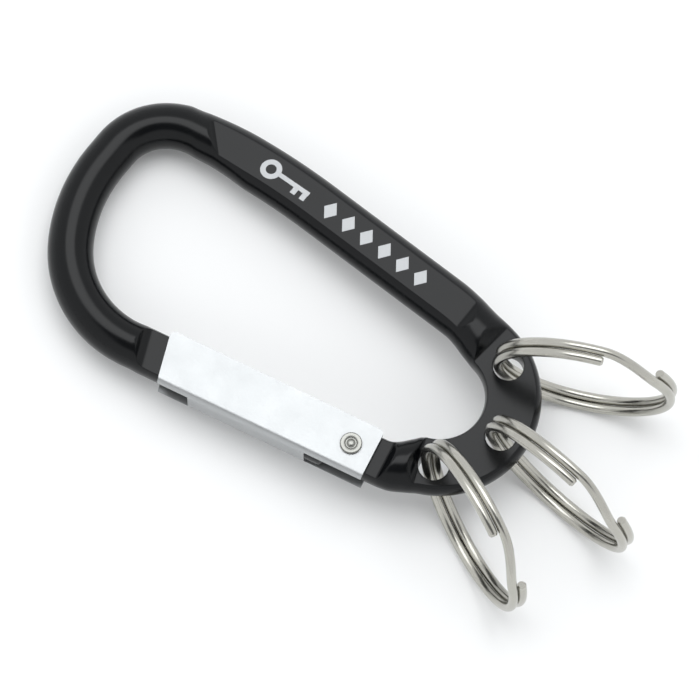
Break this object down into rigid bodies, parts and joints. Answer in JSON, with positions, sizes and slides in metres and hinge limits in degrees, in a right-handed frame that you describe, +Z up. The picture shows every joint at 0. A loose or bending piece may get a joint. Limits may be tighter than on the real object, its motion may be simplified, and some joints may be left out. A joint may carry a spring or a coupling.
{
  "type": "carabiner keyring",
  "caption": "Snap hook bent from round bar, with a sprung folded gate and split key rings threaded through its pressed end.",
  "frame": {"origin": "middle of the object's footprint, on the table it rests on", "axes": "+X along the straight back of the hook towards the ring end, +Y from the gate towards the back, +Z up off the table"},
  "size_m": [0.0924, 0.0432, 0.025],
  "materials": {
    "black_anodised": "black anodised, semi-gloss",
    "gate_silver": "natural anodised, fine satin",
    "rivet_steel": "plain turned steel, slightly worn",
    "spring_steel": "bright spring wire",
    "ring_nickel": "nickel plated, bright",
    "print": "silver-grey pad-printed ink"
  },
  "bodies": {
    "hook": {"frame": "black_anodised", "gate_spring": "spring_steel"},
    "gate": {"gate": "gate_silver", "hinge_rivet": "rivet_steel"},
    "ring_1": {"split_ring_1": "ring_nickel"},
    "ring_2": {"split_ring_2": "ring_nickel"},
    "ring_3": {"split_ring_3": "ring_nickel"}
  },
  "joints": [
    {"name": "gate_hinge", "type": "hinge", "parent": "hook", "child": "gate", "pos_m": [0.00842, -0.01124, 0.00698], "axis": [0.0732, 0, -0.9973], "range_deg": [0, 30], "stiffness_Nm_per_rad": 0.02, "springref_deg": -20.05, "deforming": ["gate_spring"]},
    {"name": "ring_1_swivel", "type": "hinge", "parent": "hook", "child": "ring_1", "pos_m": [0.01815, 0.01072, 0.00769], "axis": [-0.0732, 0, 0.9973], "range_deg": [-18, 45]},
    {"name": "ring_2_swivel", "type": "hinge", "parent": "hook", "child": "ring_2", "pos_m": [0.02337, 0.00226, 0.00808], "axis": [-0.0732, 0, 0.9973], "range_deg": [-15, 18]},
    {"name": "ring_3_swivel", "type": "hinge", "parent": "hook", "child": "ring_3", "pos_m": [0.01884, -0.00658, 0.00774], "axis": [-0.0732, 0, 0.9973], "range_deg": [-35, 15]}
  ]
}
